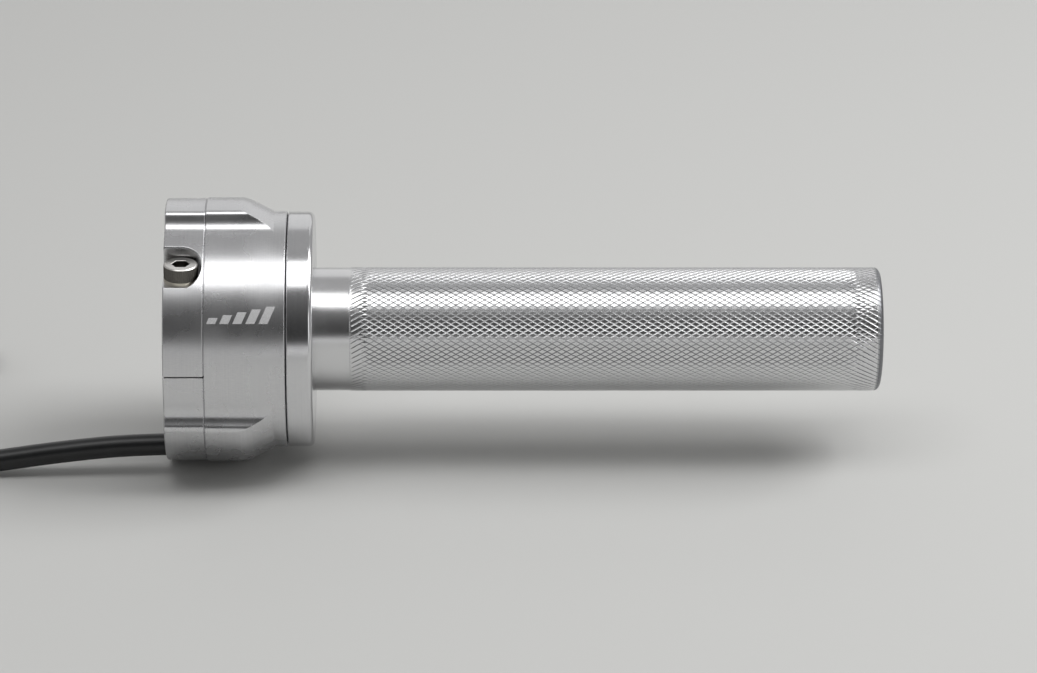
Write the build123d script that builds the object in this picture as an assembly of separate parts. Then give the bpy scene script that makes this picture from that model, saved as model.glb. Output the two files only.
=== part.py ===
from build123d import *
import os
from math import acos, cos, degrees, radians, sin, sqrt, tan

# A twist throttle for the right-hand end of a handlebar. Millimetres.
# X runs along the handlebar towards the grip's outer end, +Y is forward and +Z is up.
# The origin is on the bar's axis, in the plane of the clamp's outer face.
# Angles round the bar are measured from +Z towards -Y, which is towards the rider.

# ---------------------------------------------------------------- driving sizes
bar_diameter = 22.2
clamp_length = 10.0
housing_length = 20.0
grip_diameter = 31.0
panel_step = 14.0  # the two lower panels of the housing stand out this far from the grip
lobe_step = 3.5  # and its two lobes stand out this far from the panels
grip_end = 178.3  # from the clamp's outer face to the grip's outer end
cable_diameter = 5.5
twist_travel = 70.0  # degrees from closed to fully open

# ---------------------------------------------------------------- clearances
running_gap = 0.3  # between the housing and what turns beside it
split_gap = 0.35  # between the two halves of the bar clamp
bar_running_clearance = 0.1  # the bushes slide on the bar
bar_passage_clearance = 0.6  # everything else stays this far off the bar
screw_clearance = 0.25  # round a shank that passes through a hole
thread_clearance = 0.02
ball_clearance = 0.03
edge_break = 0.25
cut_margin = 0.01  # keeps a cut off the surface that it runs out on

# ---------------------------------------------------------------- outline of clamp and housing
lobe_middle = -30.0  # one lobe is here, the other is opposite
flute_radius = 4.4  # hollow curve beside each panel
lobe_edge_radius = 1.7  # rounded edge of each lobe
panel_half_angle = 47.2  # where the panel ends and the flute starts
clamp_set_back = 0.2  # the clamp's lobes are this much lower than the housing's
cone_angle = 26.6
cone_foot = 3.1  # from the cone's foot to the housing's right face
cone_blend = 7.0

# ---------------------------------------------------------------- housing inside
housing_wall = 3.0
web_thickness = 2.5
hub_wall = 1.8
bearing_shoulder = 1.7  # the web holds the first bearing's outer race by this much
bearing_inset = 0.5  # from the web's inner face to the first bearing

# ---------------------------------------------------------------- bearings
journal_step = 0.5  # the journal is this much smaller than the grip
race_thickness = 1.1
race_space = 1.3  # between the two races
ball_diameter = 1.9
bearing_width = 4.0
balls_per_bearing = 20
bearing_spacing = 7.0
cage_thickness = 0.5
cage_width = 3.0
circlip_thickness = 0.8
circlip_depth = 0.6
circlip_height = 1.6
circlip_mouth = 12.0  # degrees left open
journal_overhang = 0.8  # the journal runs on past its circlip

# ---------------------------------------------------------------- twist grip
flange_width = 6.4
flange_set_back = 0.1  # the flange's rim is this much lower than the panels
flange_corner = 1.4
neck_step = 0.1  # the neck is this much lower than the grip
neck_length = 9.1
grip_corner = 1.5
tube_wall = 3.0
bush_length = 12.0
bush_inset = 1.0
inner_bush_x = 60.0

# ---------------------------------------------------------------- clamp screws, M5
clamp_screw_offset = 5.4  # from the bar's side to each screw's axis
clamp_screw_x = 4.4
clamp_screw_radius = 2.5
clamp_screw_length = 30.0
clamp_hole_extra = 1.8
clamp_head_radius = 4.25
clamp_head_height = 3.5
clamp_hex = 4.0
clamp_hex_depth = 2.4
head_chamfer = 0.35
pocket_floor = 20.4
pocket_clearance = 0.65
washer_thickness = 0.9
washer_slot = 0.6

# ---------------------------------------------------------------- base screws, M4
base_screw_angles = (132.0, 180.0, 228.0)
base_screw_offset = 2.2  # outside the hub
base_screw_radius = 2.0
base_screw_length = 10.0
base_hole_extra = 0.6
base_head_radius = 3.5
base_head_height = 4.0
base_head_recess = 0.6
base_hex = 3.0
base_hex_depth = 2.2
boss_radius = 3.1
boss_length = 3.6

# ---------------------------------------------------------------- throttle sensor
cable_angle = 150.0
cable_inset = 0.7  # inside the panels' radius
cable_hole_clearance = 0.35
grommet_wall = 0.65
grommet_length = 2.4
cable_end_inset = 4.5  # the cable's jacket ends this far inside the seam
cable_pocket_length = 8.5
board_angle = 156.0
board_arc = 27.0
board_width = 4.6
board_offset = 3.1  # outside the hub
board_thickness = 1.6
chip_angles = (159.5, 166.0)
chip_arc = 5.0
chip_width = 2.6
chip_offset = 0.6  # outside the board's middle line
chip_thickness = 1.3
wire_diameter = 0.9
wire_pitch = 1.15
wire_count = 4
wire_bend = 0.8
wire_reach = 1.7
magnet_start = 7.5  # from the seam
magnet_length = 2.5
magnet_arc = 44.0
magnet_count = 4
carrier_gap = 0.6
carrier_wall = 2.2
carrier_floor = 1.5
carrier_hub_gap = 0.7
carrier_screw_angles = (90.0, 210.0, 330.0)
carrier_screw_radius = 1.0
carrier_screw_offset = 2.6  # outside the hub
carrier_screw_length = 5.0
carrier_screw_extra = 0.5
carrier_head_radius = 1.9
carrier_head_height = 1.0

# ---------------------------------------------------------------- return spring and stops
spring_thickness = 0.5  # a flat strip wound in a spiral round the hub
spring_width = 4.0
spring_turns = 2
spring_pitch = 1.0
spring_hub_gap = 0.8
spring_middle = 15.2  # from the seam
spring_bite = 1.2  # how far each end reaches into the piece that holds it
stop_start = 10.2  # from the seam
stop_width = 2.0
stop_height = 2.7
stop_arc = 16.0
stop_angle = 20.0
lug_arc = 12.0
stop_slack = 0.6  # degrees left at each end of the travel

# ---------------------------------------------------------------- felt seal
seal_inset = 2.3  # inside the panels' radius
seal_width = 1.3
seal_depth = 1.0
seal_stand_out = 0.2

# ---------------------------------------------------------------- cable beyond the clamp
coil_middle = (-102.0, 16.0)
coil_mean_radius = 30.0
coil_corner = 2.4
boot_wall = 0.85
boot_length = 8.0
plug_length = 18.0
plug_width = 13.0
plug_height = 11.0
plug_corner = 1.0
plug_pin_radius = 0.8
plug_pin_depth = 8.0
plug_pin_pitch = 2.6
latch_length = 9.0
latch_width = 5.0
latch_height = 1.6

# ---------------------------------------------------------------- worked out from the above
bar_radius = bar_diameter / 2
grip_radius = grip_diameter / 2
cable_radius = cable_diameter / 2
panel_radius = grip_radius + panel_step
lobe_radius = panel_radius + lobe_step
journal_radius = grip_radius - journal_step
seam_x = clamp_length
housing_end = seam_x + housing_length
flange_start = housing_end + running_gap
flange_end = flange_start + flange_width
flange_radius = panel_radius - flange_set_back
neck_radius = grip_radius - neck_step
knurl_start = flange_end + neck_length
cone_end_x = housing_end - cone_foot
cone_start_x = cone_end_x - (lobe_radius - panel_radius) / tan(radians(cone_angle))
passage_radius = bar_radius + bar_passage_clearance
bush_radius = grip_radius - tube_wall
cavity_radius = panel_radius - housing_wall
cavity_start = seam_x + web_thickness
inner_race_radius = journal_radius + race_thickness
outer_race_radius = inner_race_radius + race_space
hub_bore = outer_race_radius + race_thickness
hub_radius = hub_bore + hub_wall
ball_circle = (journal_radius + hub_bore) / 2
base_screw_circle = hub_radius + base_screw_offset
carrier_screw_circle = hub_radius + carrier_screw_offset
board_circle = hub_radius + board_offset
chip_circle = board_circle + chip_offset
cable_circle = panel_radius - cable_inset
seal_inner_radius = panel_radius - seal_inset
first_bearing = cavity_start + bearing_inset
second_bearing = first_bearing + bearing_width + bearing_spacing
bearing_end = second_bearing + bearing_width
tube_start = first_bearing - circlip_thickness - journal_overhang
carrier_outer = cavity_radius - carrier_gap
carrier_inner = carrier_outer - carrier_wall
carrier_floor_inner = hub_radius + carrier_hub_gap
magnets_x = seam_x + magnet_start
carrier_x = magnets_x + magnet_length
stops_x = seam_x + stop_start
spring_x = seam_x + spring_middle
spring_inner_radius = hub_radius + spring_hub_gap
spring_outer_radius = spring_inner_radius + spring_turns * spring_pitch
pocket_radius = clamp_head_radius + pocket_clearance
base_seat_x = base_head_recess + base_head_height
cable_end_x = seam_x + cable_end_inset
floor_z = -lobe_radius
cable_lie = floor_z + cable_radius + 0.05  # height of the cable where it rests beside the coil
coil_height = 2 * cable_diameter
boot_radius = cable_radius + boot_wall

# The cable's run from the sensor to the coil, and from the coil to the plug.
cable_exit = (-cable_circle * sin(radians(cable_angle)), cable_circle * cos(radians(cable_angle)))
cable_route = (
    (cable_end_x, cable_exit[0], cable_exit[1]),
    (-6.0, cable_exit[0], cable_exit[1]),
    (-27.0, -15.0, cable_lie + 3.3),
    (-48.0, -15.4, cable_lie + 0.05),
    (-70.0, -16.9, cable_lie),
    (-92.0, -16.6, cable_lie),
)
tail_route = (
    (-97.0, 48.8, cable_lie + cable_diameter - 0.1),
    (-86.5, 49.8, floor_z + plug_height / 2),
    (-75.0, 49.8, floor_z + plug_height / 2),
)


def around(radius, angle, x=0.0):
    """A point at this radius and angle round the bar."""
    return Vector(x, -radius * sin(radians(angle)), radius * cos(radians(angle)))


def ring(outer, inner, start, end):
    """A plain ring round the bar's axis, from one X to another."""
    base = Plane(origin=(start, 0, 0), x_dir=(0, 1, 0), z_dir=(1, 0, 0))
    return extrude(base * (Circle(outer) - Circle(inner)), end - start)


def rod(radius, start, direction, length):
    """A round bar from a point, along a direction."""
    return extrude(Plane(origin=start, z_dir=direction) * Circle(radius), length)


def turned(points, start=(0, 0, 0), direction=(1, 0, 0), across=(0, 0, 1)):
    """A solid of revolution. Each point is a distance along the axis and a radius."""
    outline = make_face(Polyline(*points, close=True))
    section = Plane(origin=start, x_dir=direction, z_dir=across) * outline
    return revolve(section, Axis(start, direction), 360)


def sector(outer, inner, start, end, middle, arc):
    """Part of a ring round the bar's axis, centred on an angle. The arc is under 180 degrees."""
    reach = 2 * outer / cos(radians(arc / 2))
    corners = [Vector(start, 0, 0)]
    for angle in (middle - arc / 2, middle + arc / 2):
        corners.append(around(reach, angle, start))
    wedge = extrude(make_face(Polyline(*corners, close=True)), end - start, dir=(1, 0, 0))
    return ring(outer, inner, start, end) & wedge


def hexagon(across_flats, start, direction, length):
    """The cutter for a hexagon socket."""
    outline = Plane(origin=start, z_dir=direction) * RegularPolygon(across_flats / sqrt(3), 6)
    return extrude(outline, length)


def cap_screw(seat, direction, across, shank, length, head, head_height, hex_size, hex_depth):
    """A socket head cap screw whose head rests on the seat and whose shank points along a direction."""
    outline = (
        (-head_height, 0),
        (-head_height, head - head_chamfer),
        (head_chamfer - head_height, head),
        (0, head),
        (0, shank),
        (length - shank / 3, shank),
        (length, shank * 2 / 3),
        (length, 0),
    )
    top = Vector(*seat) - Vector(*direction) * head_height
    return turned(outline, seat, direction, across) - hexagon(hex_size, top, direction, hex_depth)


def arc_about(centre, start, end):
    """The short arc from one point to another about a centre."""
    middle = (start - centre) + (end - centre)
    return ThreePointArc(start, centre + middle.normalized() * (start - centre).length, end)


def lobed_face(lobe, panel, x):
    """The outline with two lobes and two panels, each panel between two hollow flutes."""
    flute_centre_radius = panel + flute_radius
    edge_centre_radius = lobe - lobe_edge_radius
    reach = flute_radius + lobe_edge_radius
    cosine = (flute_centre_radius**2 + edge_centre_radius**2 - reach**2) / (
        2 * flute_centre_radius * edge_centre_radius
    )
    edge_half_angle = panel_half_angle + degrees(acos(cosine))
    bar_axis = Vector(x, 0, 0)
    lines = []
    for panel_middle in (lobe_middle + 90, lobe_middle + 270):
        corners = []
        for side in (-1, 1):
            panel_corner = around(panel, panel_middle + side * panel_half_angle, x)
            lobe_corner = around(lobe, panel_middle + side * edge_half_angle, x)
            flute_centre = bar_axis + (panel_corner - bar_axis) * (flute_centre_radius / panel)
            edge_centre = bar_axis + (lobe_corner - bar_axis) * (edge_centre_radius / lobe)
            meeting = flute_centre + (edge_centre - flute_centre) * (flute_radius / reach)
            lines.append(arc_about(flute_centre, panel_corner, meeting))
            lines.append(arc_about(edge_centre, meeting, lobe_corner))
            corners.append(panel_corner)
        lines.append(arc_about(bar_axis, corners[0], corners[1]))
    for middle in (lobe_middle, lobe_middle + 180):
        first = around(lobe, middle - 90 + edge_half_angle, x)
        last = around(lobe, middle + 90 - edge_half_angle, x)
        lines.append(arc_about(bar_axis, first, last))
    return make_face(Wire.combine(lines)[0])


def outline_edges(solid, side):
    """The edges of the solid's left (0) or right (-1) end."""
    return solid.edges().group_by(Axis.X)[side]


def rim_edge(solid, side):
    """The widest round edge at the solid's left (0) or right (-1) end."""
    return outline_edges(solid, side).sort_by(SortBy.RADIUS)[-1]


# ---------------------------------------------------------------- clamp
def clamp_half(side):
    """The upper (1) or lower (-1) half of the split clamp."""
    reach = 2 * lobe_radius
    outline = lobed_face(lobe_radius - clamp_set_back, panel_radius, 0)
    half_plane = Plane(origin=(0, 0, side * split_gap / 2))
    above = Box(reach * 2, reach * 2, reach, align=(Align.CENTER, Align.CENTER, Align.MIN))
    half_space = half_plane * above
    if side < 0:
        half_space = half_space.mirror(half_plane)
    half = extrude(outline, clamp_length, dir=(1, 0, 0)) & half_space
    split_edges = half.edges().filter_by(Axis.X).sort_by_distance((0, 0, 0))[:2]
    half = chamfer(outline_edges(half, 0) + outline_edges(half, -1) + split_edges, edge_break)
    return half - rod(bar_radius, (-1, 0, 0), (1, 0, 0), clamp_length + 2)


def clamp_screw_seats():
    reach = bar_radius + clamp_screw_offset
    return [(clamp_screw_x, side * reach, pocket_floor) for side in (-1, 1)]


def pocket_rim(cap, seat):
    """The edges where a pocket's wall meets the outside of the cap."""
    rim = []
    for edge in cap.edges():
        on_wall = True
        for share in (0.05, 0.5, 0.95):
            from_seat = edge @ share - Vector(*seat)
            if from_seat.X > 0:
                from_axis = sqrt(from_seat.X**2 + from_seat.Y**2)
            else:
                from_axis = abs(from_seat.Y)
            near_wall = abs(from_axis - pocket_radius) < cut_margin
            on_wall = on_wall and near_wall and from_seat.Z > cut_margin
        upright = abs((edge @ 0).Z - (edge @ 1).Z) > 0.97 * edge.length
        if on_wall and not upright:
            rim.append(edge)
    return rim


def make_clamp_cap():
    cap = clamp_half(1)
    for seat in clamp_screw_seats():
        cap -= rod(pocket_radius, seat, (0, 0, 1), lobe_radius)
        mouth = Box(
            clamp_screw_x + 1,
            2 * pocket_radius,
            lobe_radius,
            align=(Align.MAX, Align.CENTER, Align.MIN),
        )
        cap -= Pos(*seat) * mouth
        cap -= rod(clamp_screw_radius + screw_clearance, seat, (0, 0, -1), lobe_radius)
        cap = chamfer(pocket_rim(cap, seat), edge_break)
    return cap


def make_clamp_base():
    base = clamp_half(-1)
    depth = clamp_screw_length - washer_thickness + clamp_hole_extra
    for seat in clamp_screw_seats():
        base -= rod(clamp_screw_radius + thread_clearance, seat, (0, 0, -1), depth)
    for angle in base_screw_angles:
        head_start = around(base_screw_circle, angle, -1)
        base -= rod(base_head_radius + screw_clearance, head_start, (1, 0, 0), base_seat_x + 1)
        base -= rod(base_screw_radius + screw_clearance, head_start, (1, 0, 0), clamp_length + 2)
    cable_start = around(cable_circle, cable_angle, -1)
    return base - rod(cable_radius + cable_hole_clearance, cable_start, (1, 0, 0), clamp_length + 2)


def make_clamp_screws():
    screws = []
    for x, y, z in clamp_screw_seats():
        screws.append(
            cap_screw(
                (x, y, z + washer_thickness),
                (0, 0, -1),
                (0, 1, 0),
                clamp_screw_radius,
                clamp_screw_length,
                clamp_head_radius,
                clamp_head_height,
                clamp_hex,
                clamp_hex_depth,
            )
        )
    return screws


def make_lock_washers():
    washers = []
    for seat in clamp_screw_seats():
        washer = rod(clamp_head_radius, seat, (0, 0, 1), washer_thickness)
        washer -= rod(clamp_screw_radius + screw_clearance, seat, (0, 0, 1), washer_thickness)
        slot = Rot(0, 0, 25) * Box(
            clamp_head_radius * 2,
            washer_slot,
            washer_thickness * 3,
            align=(Align.MIN, Align.CENTER, Align.CENTER),
        )
        washers.append(washer - Pos(*seat) * slot)
    return washers


def make_base_screws():
    screws = []
    for angle in base_screw_angles:
        screws.append(
            cap_screw(
                around(base_screw_circle, angle, base_seat_x),
                (1, 0, 0),
                (0, 0, 1),
                base_screw_radius,
                base_screw_length,
                base_head_radius,
                base_head_height,
                base_hex,
                base_hex_depth,
            )
        )
    return screws


# ---------------------------------------------------------------- housing
def cone_cutter():
    """What is outside the cone that brings the lobes down to the panels."""
    slope = (lobe_radius - panel_radius) / (cone_end_x - cone_start_x)
    outline = (
        (cone_start_x - cone_blend, lobe_radius + cut_margin),
        (cone_start_x, lobe_radius + cut_margin),
        (cone_end_x + cone_blend, panel_radius + cut_margin - slope * cone_blend),
        (cone_end_x + cone_blend, lobe_radius * 2),
        (cone_start_x - cone_blend, lobe_radius * 2),
    )
    section = make_face(Polyline(*outline, close=True))
    corner = section.vertices().sort_by_distance((cone_start_x, lobe_radius, 0))[0]
    return revolve(fillet(corner, cone_blend), Axis.X, 360)


def make_main_housing():
    outline = lobed_face(lobe_radius, panel_radius, seam_x)
    solid = extrude(outline, cone_end_x - seam_x, dir=(1, 0, 0))
    solid = chamfer(outline_edges(solid, 0), edge_break) - cone_cutter()
    band = (
        (cone_end_x, 0),
        (cone_end_x, panel_radius),
        (housing_end - edge_break, panel_radius),
        (housing_end, panel_radius - edge_break),
        (housing_end, 0),
    )
    solid += turned(band)
    solid -= ring(cavity_radius, hub_radius, cavity_start, housing_end)
    solid -= rod(hub_bore - bearing_shoulder, (seam_x - 1, 0, 0), (1, 0, 0), housing_length)
    solid -= rod(hub_bore, (first_bearing, 0, 0), (1, 0, 0), housing_length)
    solid -= ring(hub_bore + circlip_depth, bar_radius, bearing_end, bearing_end + circlip_thickness)
    solid -= ring(
        seal_inner_radius + seal_width, seal_inner_radius, housing_end - seal_depth, housing_end
    )
    for angle in base_screw_angles:
        boss_start = around(base_screw_circle, angle, cavity_start - web_thickness / 2)
        solid += rod(boss_radius, boss_start, (1, 0, 0), boss_length + web_thickness / 2)
        hole_end = base_seat_x + base_screw_length + base_hole_extra
        hole_start = around(base_screw_circle, angle, seam_x - 1)
        solid -= rod(base_screw_radius + thread_clearance, hole_start, (1, 0, 0), hole_end - seam_x + 1)
    stop_top = hub_radius + stop_height
    stop_foot = hub_radius - hub_wall / 2
    solid += sector(stop_top, stop_foot, stops_x, stops_x + stop_width, stop_angle, stop_arc)
    cable_start = around(cable_circle, cable_angle, seam_x - 1)
    solid -= rod(cable_radius + grommet_wall, cable_start, (1, 0, 0), cable_pocket_length + 1)
    return solid - inner_spring_foot(thread_clearance)


def make_felt_seal():
    end = housing_end + seal_stand_out
    return ring(seal_inner_radius + seal_width, seal_inner_radius, housing_end - seal_depth, end)


# ---------------------------------------------------------------- bearings
def bearing_starts():
    return {"inboard": first_bearing, "outboard": second_bearing}


def raceway(x):
    groove = Plane(origin=(x + bearing_width / 2, 0, 0), z_dir=(1, 0, 0))
    return groove * Torus(ball_circle, ball_diameter / 2 + ball_clearance)


def make_outer_race(x):
    return ring(hub_bore, outer_race_radius, x, x + bearing_width) - raceway(x)


def make_inner_race(x):
    return ring(inner_race_radius, journal_radius, x, x + bearing_width) - raceway(x)


def ball_places(x):
    step = 360 / balls_per_bearing
    middle = x + bearing_width / 2
    return [around(ball_circle, count * step, middle) for count in range(balls_per_bearing)]


def make_balls(x):
    return [Pos(*place) * Sphere(ball_diameter / 2) for place in ball_places(x)]


def make_ball_cage(x):
    start = x + (bearing_width - cage_width) / 2
    outer = ball_circle + cage_thickness / 2
    cage = ring(outer, outer - cage_thickness, start, start + cage_width)
    for place in ball_places(x):
        cage -= Pos(*place) * Sphere(ball_diameter / 2 + ball_clearance)
    return cage


def make_race_spacer(outer, inner):
    return ring(outer, inner, first_bearing + bearing_width, second_bearing)


def make_hub_circlip():
    outer = hub_bore + circlip_depth
    clip = ring(outer, outer - circlip_height, bearing_end, bearing_end + circlip_thickness)
    return clip - sector(outer + 1, 1, bearing_end - 1, bearing_end + 2, 180, circlip_mouth)


def make_shaft_circlip():
    inner = journal_radius - circlip_depth
    start = first_bearing - circlip_thickness
    clip = ring(inner + circlip_height, inner, start, first_bearing)
    return clip - sector(inner + circlip_height + 1, 1, start - 1, first_bearing + 1, 0, circlip_mouth)


# ---------------------------------------------------------------- twist grip
def make_throttle_tube():
    outline = (
        (tube_start, passage_radius),
        (tube_start, journal_radius - edge_break),
        (tube_start + edge_break, journal_radius),
        (bearing_end, journal_radius),
        (bearing_end, neck_radius),
        (knurl_start, neck_radius),
        (knurl_start + neck_step, grip_radius),
        (grip_end, grip_radius),
        (grip_end, bush_radius),
        (inner_bush_x, bush_radius),
        (inner_bush_x, passage_radius),
    )
    tube = turned(outline)
    tube = fillet(rim_edge(tube, -1), grip_corner)
    clip_start = first_bearing - circlip_thickness
    return tube - ring(journal_radius + 1, journal_radius - circlip_depth, clip_start, first_bearing)


def carrier_screw_cutters(start, radius, length):
    starts = [around(carrier_screw_circle, angle, start) for angle in carrier_screw_angles]
    return [rod(radius, place, (1, 0, 0), length) for place in starts]


def make_twist_flange():
    flange = ring(flange_radius, neck_radius, flange_start, flange_end)
    flange = fillet(rim_edge(flange, -1), flange_corner)
    flange = chamfer(rim_edge(flange, 0), edge_break)
    depth = carrier_screw_length - carrier_floor + carrier_screw_extra
    for hole in carrier_screw_cutters(flange_start, carrier_screw_radius + thread_clearance, depth):
        flange -= hole
    return flange


def make_magnet_carrier():
    carrier = ring(carrier_outer, carrier_inner, carrier_x, flange_start)
    carrier += ring(carrier_outer, carrier_floor_inner, flange_start - carrier_floor, flange_start)
    closed_lug = stop_angle + stop_arc / 2 + stop_slack + lug_arc / 2
    open_lug = stop_angle - stop_arc / 2 - twist_travel - stop_slack - lug_arc / 2
    lug_top = carrier_inner + carrier_wall / 2
    for angle in (closed_lug, open_lug):
        carrier += sector(lug_top, carrier_floor_inner, stops_x, stops_x + stop_width, angle, lug_arc)
    for place in carrier_screw_places():
        carrier -= turned(carrier_screw_outline(thread_clearance), place)
    return carrier - outer_spring_foot(thread_clearance)


def carrier_screw_places():
    start = flange_start - carrier_floor
    return [around(carrier_screw_circle, angle, start) for angle in carrier_screw_angles]


def carrier_screw_outline(extra):
    return (
        (0, 0),
        (0, carrier_head_radius + extra),
        (carrier_head_height, carrier_screw_radius + extra),
        (carrier_screw_length, carrier_screw_radius + extra),
        (carrier_screw_length, 0),
    )


def make_carrier_screws():
    return [turned(carrier_screw_outline(0), place) for place in carrier_screw_places()]


def make_sensor_magnets():
    magnets = []
    for count in range(magnet_count):
        middle = 45 + count * 360 / magnet_count
        magnets.append(sector(carrier_outer, carrier_inner, magnets_x, carrier_x, middle, magnet_arc))
    return magnets


def make_bush(start):
    return ring(bush_radius, bar_radius + bar_running_clearance, start, start + bush_length)


# ---------------------------------------------------------------- return spring
def spring_foot(start_radius, end_radius, extra):
    """A bent end of the strip, which stands out from the bar's axis between two radii."""
    base = Plane(origin=around(start_radius, 0, spring_x), x_dir=(1, 0, 0), z_dir=(0, 0, 1))
    outline = Rectangle(spring_width + 2 * extra, spring_thickness + 2 * extra)
    return extrude(base * outline, end_radius - start_radius + extra)


def inner_spring_foot(extra):
    return spring_foot(hub_radius - spring_bite - extra, spring_inner_radius, extra)


def outer_spring_foot(extra):
    return spring_foot(spring_outer_radius, carrier_inner + spring_bite, extra)


def make_return_spring():
    arcs = []
    for count in range(2 * spring_turns):
        start = around(spring_inner_radius + count * spring_pitch / 2, count * 180, spring_x)
        end = around(spring_inner_radius + (count + 1) * spring_pitch / 2, (count + 1) * 180, spring_x)
        middle = (start + end) / 2 + around((end - start).length / 2, count * 180 + 90)
        arcs.append(ThreePointArc(start, middle, end))
    line = Wire(arcs)
    section = Plane(origin=line @ 0, x_dir=(1, 0, 0), z_dir=line % 0)
    strip = sweep(section * Rectangle(spring_width, spring_thickness), path=line)
    return strip + inner_spring_foot(0) + outer_spring_foot(0)


# ---------------------------------------------------------------- throttle sensor
def make_sensor_board():
    outer = board_circle + board_width / 2
    inner = board_circle - board_width / 2
    return sector(outer, inner, cavity_start, cavity_start + board_thickness, board_angle, board_arc)


def make_hall_sensors():
    outer = chip_circle + chip_width / 2
    inner = chip_circle - chip_width / 2
    start = cavity_start + board_thickness
    return [sector(outer, inner, start, start + chip_thickness, angle, chip_arc) for angle in chip_angles]


def make_sensor_wires():
    outwards = around(1, cable_angle)
    sideways = Vector(1, 0, 0).cross(outwards)
    board_face = cavity_start + board_thickness
    wires = []
    for count in range(wire_count):
        offset = sideways * ((count - (wire_count - 1) / 2) * wire_pitch)
        points = []
        for x, radius in (
            (cable_end_x, cable_circle),
            (cable_end_x + wire_reach, cable_circle),
            (cable_end_x + wire_reach, board_circle),
            (board_face, board_circle),
        ):
            points.append(Vector(x, 0, 0) + outwards * radius + offset)
        path = FilletPolyline(*points, radius=wire_bend)
        section = Plane(origin=path @ 0, z_dir=path % 0) * Circle(wire_diameter / 2)
        wires.append(sweep(section, path=path))
    return wires


def make_cable_grommet():
    start = around(cable_circle, cable_angle, seam_x)
    sleeve = rod(cable_radius + grommet_wall, start, (1, 0, 0), grommet_length)
    return sleeve - rod(cable_radius, start, (1, 0, 0), grommet_length)


# ---------------------------------------------------------------- cable, coil and plug
def cord_tube(points, name):
    """A round cord along straight runs, with an arc at each corner as large as its runs allow."""
    vectors = [Vector(*point) for point in points]
    radii = []
    for before, corner, after in zip(vectors, vectors[1:], vectors[2:]):
        first = corner - before
        second = after - corner
        half_turn = radians(first.get_angle(second)) / 2
        radii.append(0.45 * min(first.length, second.length) / tan(half_turn))
    path = FilletPolyline(*vectors, radius=radii)
    section = Plane(origin=path @ 0, z_dir=path % 0) * Circle(cable_radius)
    tube = sweep(section, path=path)
    print(name, "radii", [round(radius) for radius in radii], "length", round(path.length, 1))
    print(name, "volume over section times length", round(tube.volume / section.area / path.length, 4))
    return tube


def make_cable_coil():
    middle = Plane(origin=(coil_middle[0], coil_middle[1], floor_z), x_dir=(1, 0, 0), z_dir=(0, -1, 0))
    section = RectangleRounded(2 * cable_diameter, coil_height, coil_corner)
    section = Pos(coil_mean_radius, coil_height / 2) * section
    return revolve(middle * section, Axis((coil_middle[0], coil_middle[1], 0), (0, 0, 1)), 360)


def make_plug_boot():
    return rod(boot_radius, tail_route[-1], (1, 0, 0), boot_length)


def make_plug_body():
    start = Vector(*tail_route[-1]) + Vector(boot_length, 0, 0)
    end = start + Vector(plug_length, 0, 0)
    shell = Box(plug_length, plug_width, plug_height, align=(Align.MIN, Align.CENTER, Align.CENTER))
    shell = fillet(shell.edges().filter_by(Axis.X), plug_corner)
    latch = Box(latch_length, latch_width, latch_height, align=(Align.MIN, Align.CENTER, Align.MIN))
    body = Pos(*start) * (shell + Pos(plug_length - latch_length - 2, 0, plug_height / 2) * latch)
    for count in range(wire_count):
        offset = Vector(0, (count - (wire_count - 1) / 2) * plug_pin_pitch, 0)
        body -= rod(plug_pin_radius, end + offset, (-1, 0, 0), plug_pin_depth)
    return body


# ---------------------------------------------------------------- write the pieces
nodes = {
    "main_housing": make_main_housing(),
    "clamp_base": make_clamp_base(),
    "clamp_cap": make_clamp_cap(),
    "clamp_screws": make_clamp_screws(),
    "lock_washers": make_lock_washers(),
    "base_screws": make_base_screws(),
    "felt_seal": make_felt_seal(),
    "outer_race_spacer": make_race_spacer(hub_bore, outer_race_radius),
    "inner_race_spacer": make_race_spacer(inner_race_radius, journal_radius),
    "hub_circlip": make_hub_circlip(),
    "shaft_circlip": make_shaft_circlip(),
    "throttle_tube": make_throttle_tube(),
    "twist_flange": make_twist_flange(),
    "magnet_carrier": make_magnet_carrier(),
    "carrier_screws": make_carrier_screws(),
    "sensor_magnets": make_sensor_magnets(),
    "inner_bush": make_bush(inner_bush_x),
    "end_bush": make_bush(grip_end - bush_inset - bush_length),
    "return_spring": make_return_spring(),
    "sensor_board": make_sensor_board(),
    "hall_sensors": make_hall_sensors(),
    "sensor_wires": make_sensor_wires(),
    "cable_grommet": make_cable_grommet(),
    "sensor_cable": cord_tube(cable_route, "sensor_cable"),
    "cable_tail": cord_tube(tail_route, "cable_tail"),
    "cable_coil": make_cable_coil(),
    "plug_boot": make_plug_boot(),
    "plug_body": make_plug_body(),
}
for place, start in bearing_starts().items():
    nodes[place + "_outer_race"] = make_outer_race(start)
    nodes[place + "_inner_race"] = make_inner_race(start)
    nodes[place + "_balls"] = make_balls(start)
    nodes[place + "_ball_cage"] = make_ball_cage(start)

os.makedirs("parts", exist_ok=True)
for name, shape in nodes.items():
    if isinstance(shape, list):
        shape = Compound(children=shape)
    export_step(shape, "parts/" + name + ".step")
print(len(nodes), "nodes written")
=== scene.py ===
import math
import bmesh
import bpy
from mathutils import Matrix, Vector


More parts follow.
